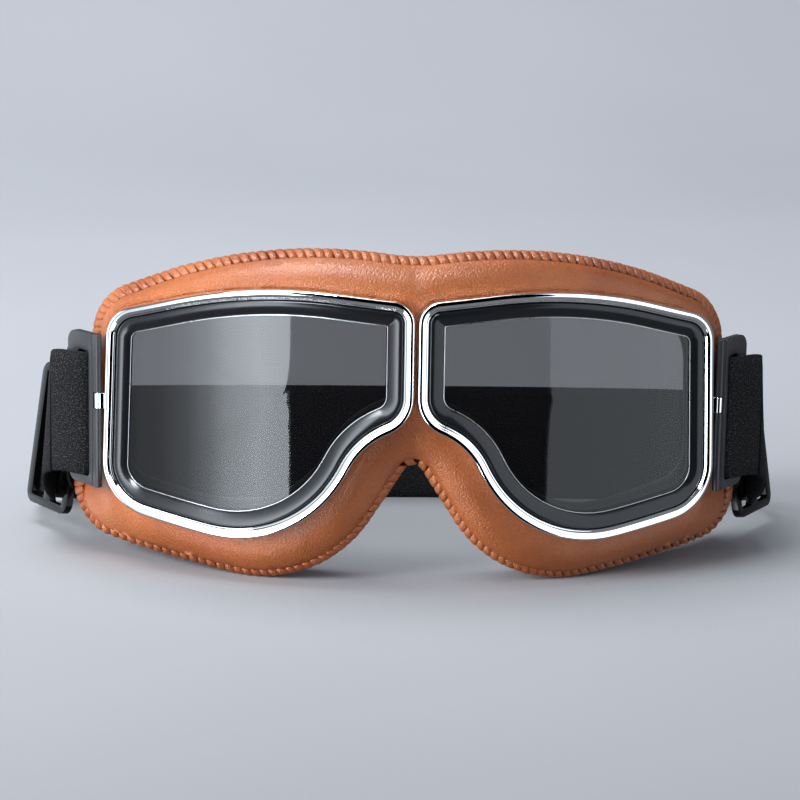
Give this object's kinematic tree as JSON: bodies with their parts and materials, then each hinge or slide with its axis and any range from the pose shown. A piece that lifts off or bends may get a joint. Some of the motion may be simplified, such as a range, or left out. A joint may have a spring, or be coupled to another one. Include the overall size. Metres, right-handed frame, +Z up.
{
  "type": "motorcycle goggles",
  "caption": "Retro riding goggles with chrome-rimmed curved smoke lenses, a laced tan leather mask, hinged strap holders, sliding buckles and an elastic head strap.",
  "frame": {"origin": "middle of the bottom of the box around the goggles as they stand on a table", "axes": "-Y is the way the goggles look, +X is the right of someone facing them, +Z is up"},
  "size_m": [0.244, 0.1242, 0.1016],
  "materials": {
    "rim_chrome": "bright polished plate",
    "rim_black": "black satin-gloss moulding",
    "smoke_lens": "clear smoke tint, glossy",
    "gasket_rubber": "smooth black rubber",
    "frame_plastic": "black moulded",
    "steel": "plain",
    "holder_plastic": "black satin moulding",
    "slider_gloss": "gloss black moulding",
    "strap_elastic": "knitted black elastic webbing",
    "tan_leather": "tan pebble-grain leather",
    "lacing_leather": "tan leather lace",
    "pad_fabric": "black lining over foam"
  },
  "bodies": {
    "front": {"bridge_link": "steel", "bridge_screws": "steel", "leather_mask": "tan_leather", "edge_lacing": "lacing_leather", "leather_gusset": "tan_leather", "face_pad": "pad_fabric", "strap_back": "strap_elastic", "bezel_left": "rim_chrome", "lens_frame_left": "rim_black", "lens_left": "smoke_lens", "lens_gasket_left": "gasket_rubber", "back_frame_left": "frame_plastic", "frame_screws_left": "steel", "hinge_lug_left": "rim_chrome", "bezel_right": "rim_chrome", "lens_frame_right": "rim_black", "lens_right": "smoke_lens", "lens_gasket_right": "gasket_rubber", "back_frame_right": "frame_plastic", "frame_screws_right": "steel", "hinge_lug_right": "rim_chrome"},
    "holder_left": {"strap_holder_left": "holder_plastic", "hinge_pin_left": "steel", "strap_loop_left": "strap_elastic", "strap_tail_left": "strap_elastic", "strap_side_left": "strap_elastic"},
    "slider_left": {"slider_left": "slider_gloss"},
    "holder_right": {"strap_holder_right": "holder_plastic", "hinge_pin_right": "steel", "strap_loop_right": "strap_elastic", "strap_tail_right": "strap_elastic", "strap_side_right": "strap_elastic"},
    "slider_right": {"slider_right": "slider_gloss"}
  },
  "joints": [
    {"name": "holder_hinge_right", "type": "hinge", "parent": "front", "child": "holder_right", "pos_m": [0.0956, -0.0239, 0.06], "axis": [0, 0, -1], "range_deg": [-4, 20], "deforming": ["strap_side_right"]},
    {"name": "slider_slide_right", "type": "slide", "parent": "holder_right", "child": "slider_right", "axis": [0.5299, 0.848, 0], "range_m": [0, 0.008], "deforming": ["strap_tail_right"]},
    {"name": "holder_hinge_left", "type": "hinge", "parent": "front", "child": "holder_left", "pos_m": [-0.0956, -0.0239, 0.06], "axis": [0, 0, 1], "range_deg": [-4, 20], "deforming": ["strap_side_left"]},
    {"name": "slider_slide_left", "type": "slide", "parent": "holder_left", "child": "slider_left", "axis": [-0.5299, 0.848, 0], "range_m": [0, 0.008], "deforming": ["strap_tail_left"]}
  ]
}
